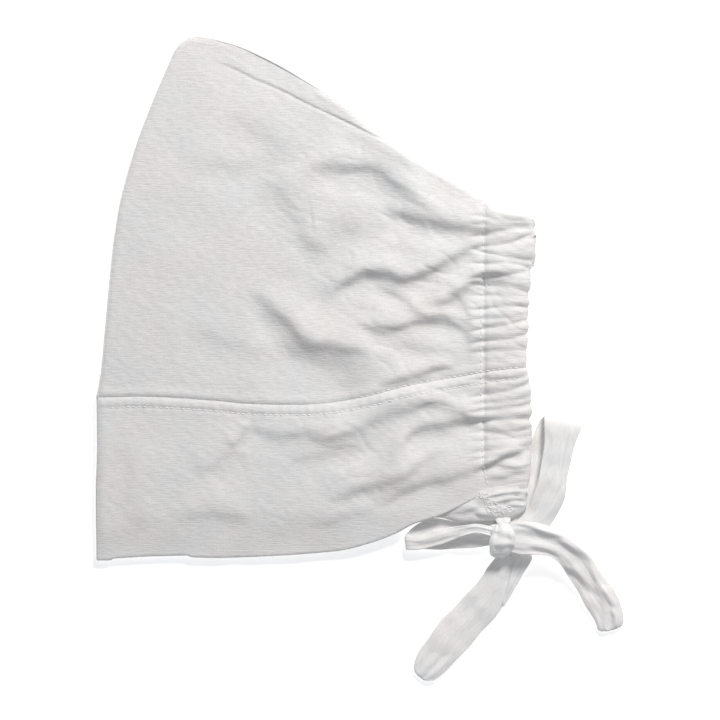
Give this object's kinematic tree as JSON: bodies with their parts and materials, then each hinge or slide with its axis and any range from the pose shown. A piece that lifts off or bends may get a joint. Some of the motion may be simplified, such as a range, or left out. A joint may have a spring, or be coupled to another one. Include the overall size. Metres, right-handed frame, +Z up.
{
  "type": "jersey under-cap",
  "caption": "Soft tie-back jersey under-cap folded flat on its centre line: seamed crown, wide face band, elasticated nape hem and ties in a bow.",
  "frame": {"origin": "on the table, under the middle of the folded cap body's outline", "axes": "+Z up, out of the upper (wearer's left) side; +Y from the face opening towards the back seam; -X towards the forehead fold"},
  "size_m": [0.2608, 0.3229, 0.014],
  "materials": {
    "crown_jersey": "white cotton jersey, single layer, matt with a soft sheen",
    "band_jersey": "white cotton jersey, doubled, matt with a soft sheen",
    "tie_jersey": "white cotton jersey tube pressed flat, matt",
    "thread": "white polyester sewing thread",
    "elastic_tape": "white ribbed knitted elastic tape"
  },
  "bodies": {
    "cap": {"crown_right_panel": "crown_jersey", "band_right_half": "band_jersey", "crown_seam_overlock": "thread", "nape_elastic": "elastic_tape", "band_seam_thread_right": "thread", "hem_thread_right": "thread", "elastic_tack_right": "thread", "tie_root_right": "tie_jersey"},
    "left_side": {"crown_left_panel": "crown_jersey", "band_left_half": "band_jersey", "band_seam_thread_left": "thread", "hem_thread_left": "thread", "elastic_tack_left": "thread", "tie_root_left": "tie_jersey"},
    "knot": {"tie_knot": "tie_jersey"},
    "left_loop": {"left_tie_loop": "tie_jersey"},
    "right_loop": {"right_tie_loop": "tie_jersey"},
    "left_tail": {"left_tie_tail": "tie_jersey"},
    "right_tail": {"right_tie_tail": "tie_jersey"}
  },
  "joints": [
    {"name": "mouth_open", "type": "hinge", "parent": "cap", "child": "left_side", "pos_m": [-0.1035, 0, 0.006], "axis": [0, -1, 0], "range_deg": [0, 7], "deforming": ["nape_elastic"]},
    {"name": "knot_lift", "type": "hinge", "parent": "cap", "child": "knot", "pos_m": [-0.1035, 0, 0.006], "axis": [0, -1, 0], "range_deg": [0, 3.5]},
    {"name": "left_loop_swing", "type": "hinge", "parent": "knot", "child": "left_loop", "pos_m": [0.0996, -0.1159, 0], "axis": [0, 0, 1], "range_deg": [-18, 1]},
    {"name": "right_loop_swing", "type": "hinge", "parent": "knot", "child": "right_loop", "pos_m": [0.0885, -0.1205, 0], "axis": [0, 0, 1], "range_deg": [-3, 10]},
    {"name": "left_tail_swing", "type": "hinge", "parent": "knot", "child": "left_tail", "pos_m": [0.10147, -0.12107, 0], "axis": [0, 0, 1], "range_deg": [-25, 12]},
    {"name": "right_tail_swing", "type": "hinge", "parent": "knot", "child": "right_tail", "pos_m": [0.09613, -0.1269, 0], "axis": [0, 0, 1], "range_deg": [-12, 20]}
  ],
  "couplings": [
    {"joint": "knot_lift", "follows": "mouth_open", "ratio": 0.5}
  ]
}
